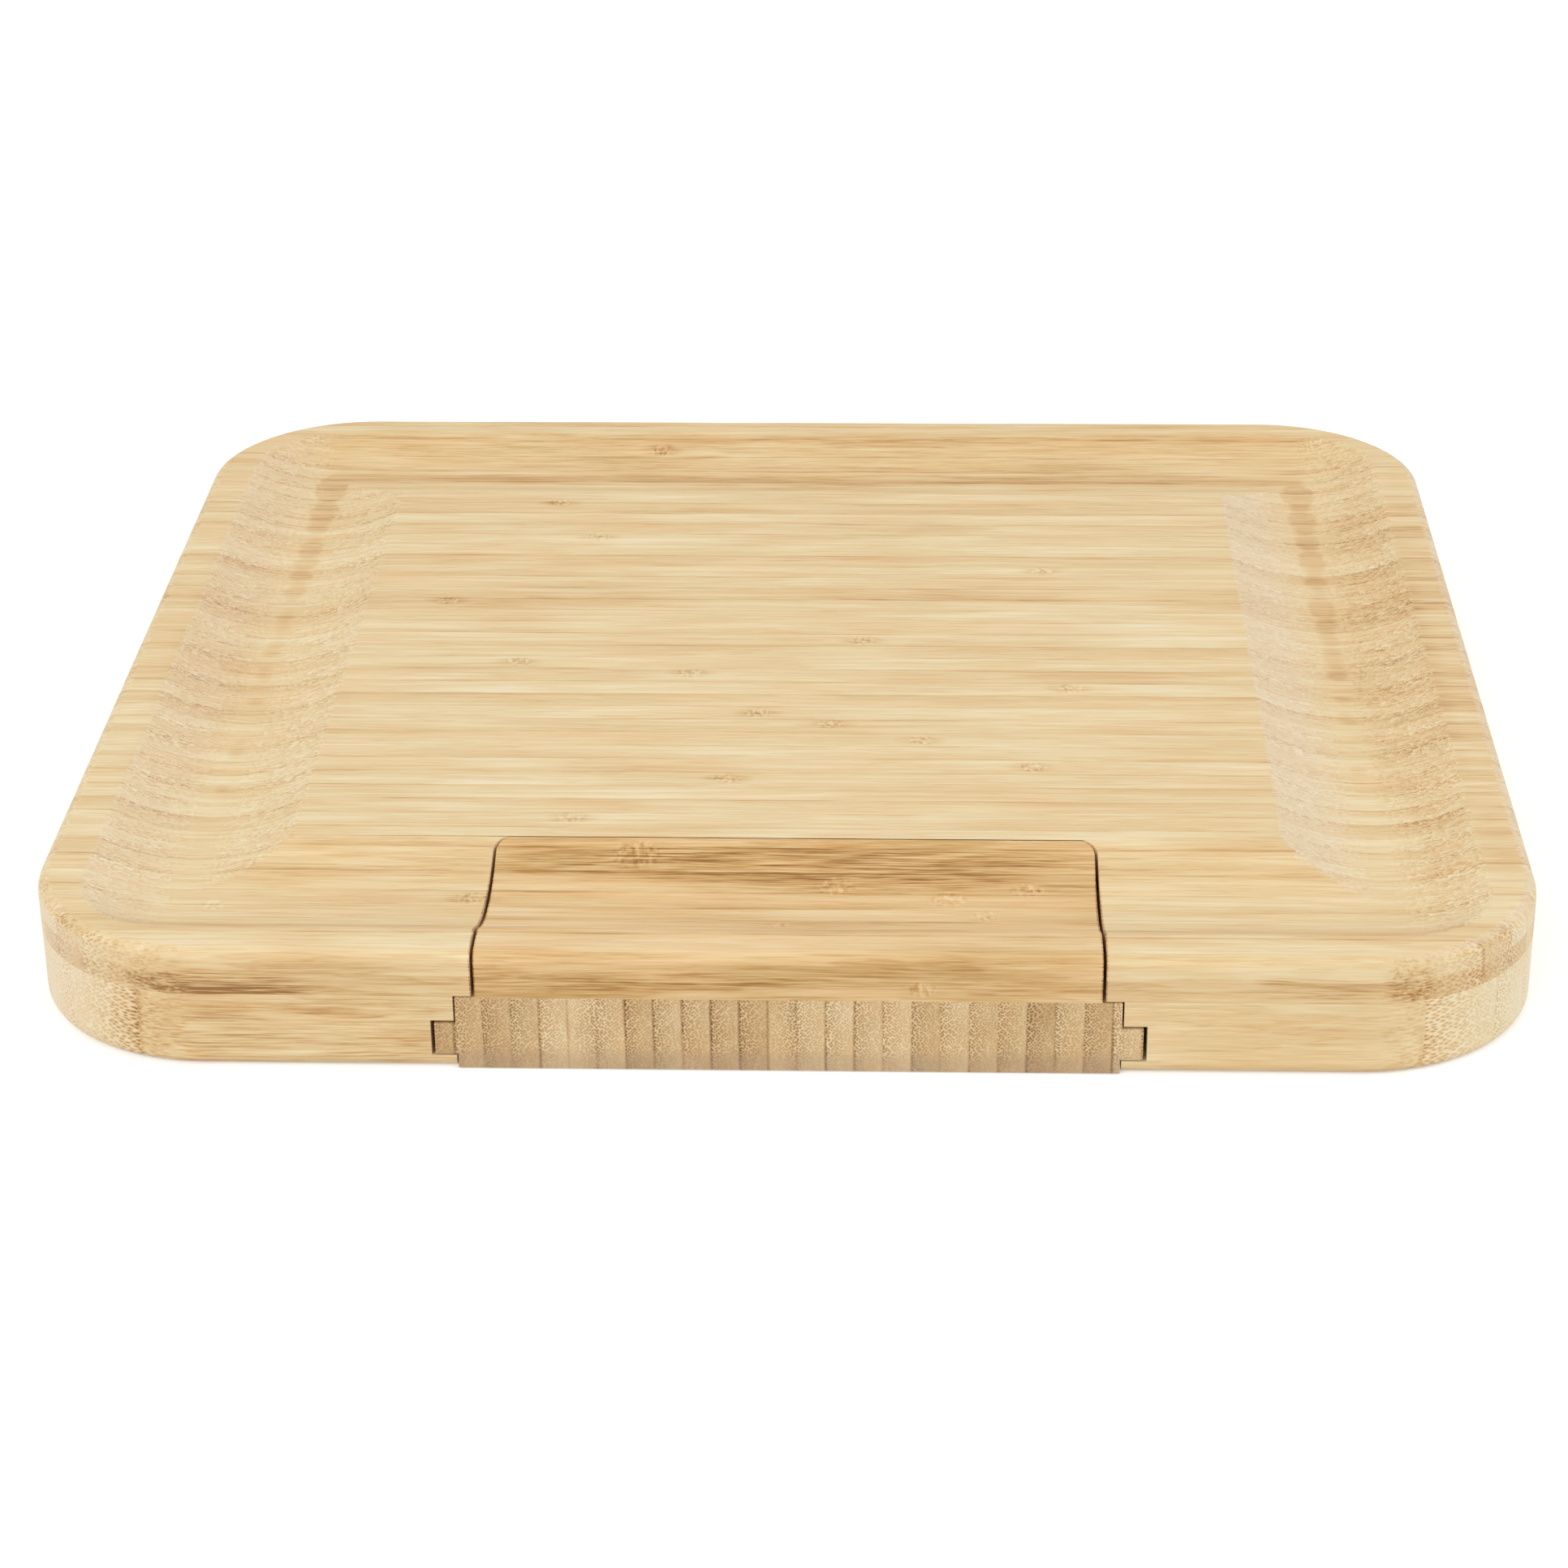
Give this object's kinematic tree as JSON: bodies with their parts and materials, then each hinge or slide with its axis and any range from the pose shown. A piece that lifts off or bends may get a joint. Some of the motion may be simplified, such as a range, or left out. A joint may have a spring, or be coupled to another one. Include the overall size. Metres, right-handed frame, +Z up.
{
  "type": "serving board",
  "caption": "Square bamboo serving board with a trough all round its top and a flush drawer in its front edge that slides out with a set of cheese tools.",
  "frame": {"origin": "middle of the board's outline, on the surface that its underside rests on", "axes": "+X along the grain to the right as seen from the drawer, +Y away from the drawer, +Z up out of the serving face"},
  "size_m": [0.34, 0.32, 0.0292],
  "materials": {
    "bamboo_panel": "fine sanded and oiled side-pressed bamboo, matt",
    "bamboo_end_grain": "sanded bamboo strips with the end grain to the front, matt",
    "bamboo_block": "fine sanded and oiled bamboo with darker bands, matt",
    "bamboo_handle": "turned and oiled bamboo, satin",
    "stainless_steel": "satin ground stainless steel",
    "pin_steel": "drawn steel dowel",
    "nickel_plate": "nickel-plated magnet"
  },
  "bodies": {
    "board": {"top_panel": "bamboo_panel", "base_panel": "bamboo_panel", "stop_pin_left": "pin_steel", "stop_pin_right": "pin_steel", "magnet_board": "nickel_plate"},
    "drawer": {"drawer_plate": "bamboo_end_grain", "drawer_front": "bamboo_block", "magnet_drawer": "nickel_plate", "cleaver_handle": "bamboo_handle", "cleaver_ferrule": "stainless_steel", "cleaver_blade": "stainless_steel", "spade_handle": "bamboo_handle", "spade_ferrule": "stainless_steel", "spade_blade": "stainless_steel", "fork_handle": "bamboo_handle", "fork_ferrule": "stainless_steel", "fork_blade": "stainless_steel", "spreader_handle": "bamboo_handle", "spreader_ferrule": "stainless_steel", "spreader_blade": "stainless_steel"}
  },
  "joints": [
    {"name": "drawer_slide", "type": "slide", "parent": "board", "child": "drawer", "axis": [0, -1, 0], "range_m": [0, 0.165]}
  ]
}
